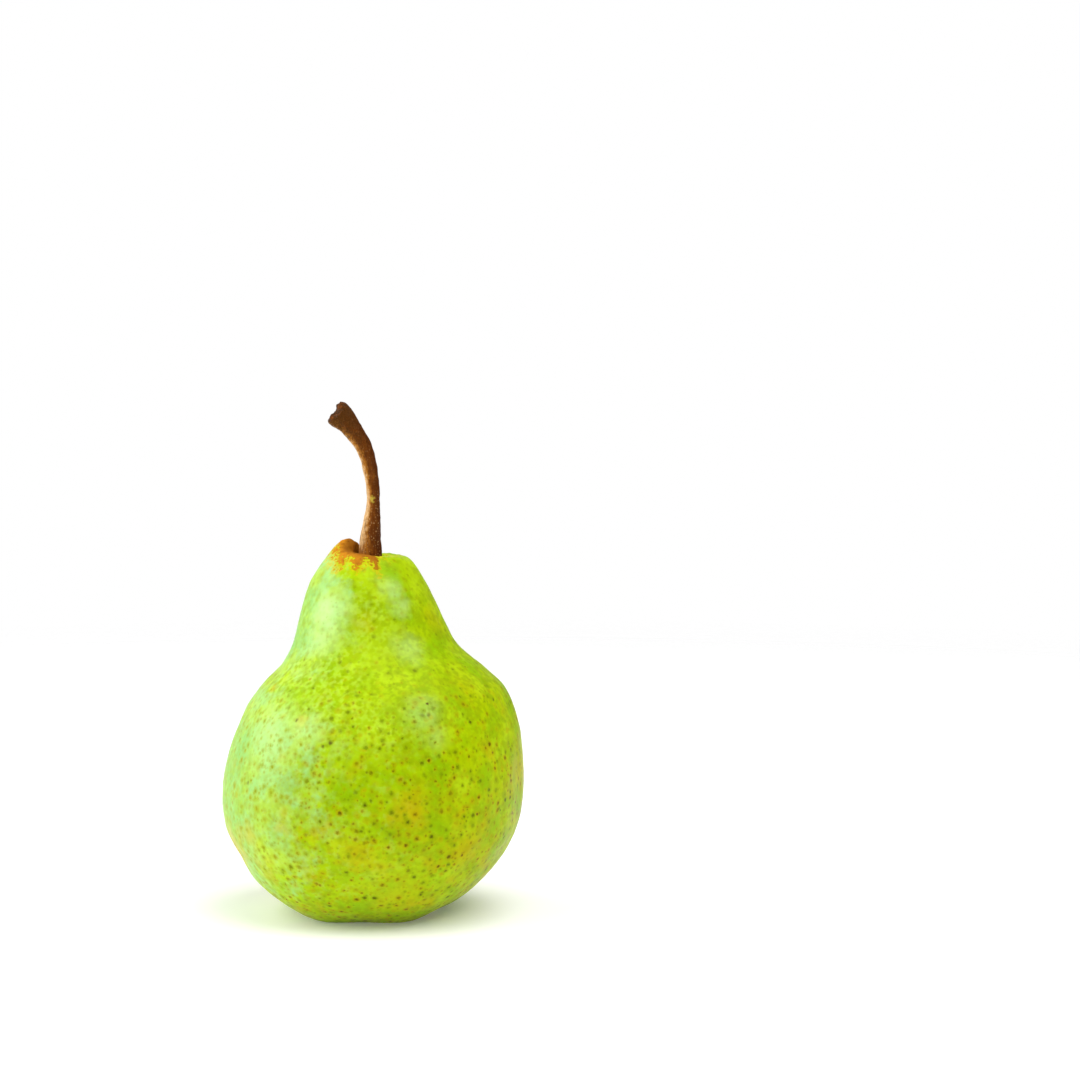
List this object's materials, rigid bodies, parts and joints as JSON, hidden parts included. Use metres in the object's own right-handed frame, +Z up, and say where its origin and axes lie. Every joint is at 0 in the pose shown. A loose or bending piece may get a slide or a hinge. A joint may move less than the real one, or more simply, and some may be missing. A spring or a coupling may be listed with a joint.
{
  "type": "pear",
  "caption": "Whole fresh green pear that stands on its base, with a round belly, a slim neck, a curved woody stem in a russeted cavity and a dried calyx in the basin underneath",
  "frame": {"origin": "on the floor under the middle of the pear's bounding box, at the height of the flat spot it rests on", "axes": "+Z up along the fruit, -Y the front, +X to the right seen from the front; the stem curves towards -X"},
  "size_m": [0.0736, 0.0737, 0.1241],
  "materials": {
    "pear_skin": "smooth waxy yellow-green skin, mottled and freckled, russet at the stem cavity",
    "stem_bark": "brown bark, finely wrinkled along its length, dark and rough at the scar",
    "dried_calyx": "dry, papery, dark brown"
  },
  "bodies": {
    "root": {"fruit": "pear_skin", "stem": "stem_bark", "calyx_disc": "dried_calyx", "sepal_1": "dried_calyx", "sepal_2": "dried_calyx", "sepal_3": "dried_calyx", "sepal_4": "dried_calyx", "sepal_5": "dried_calyx", "stamen_tuft": "dried_calyx"}
  },
  "joints": []
}
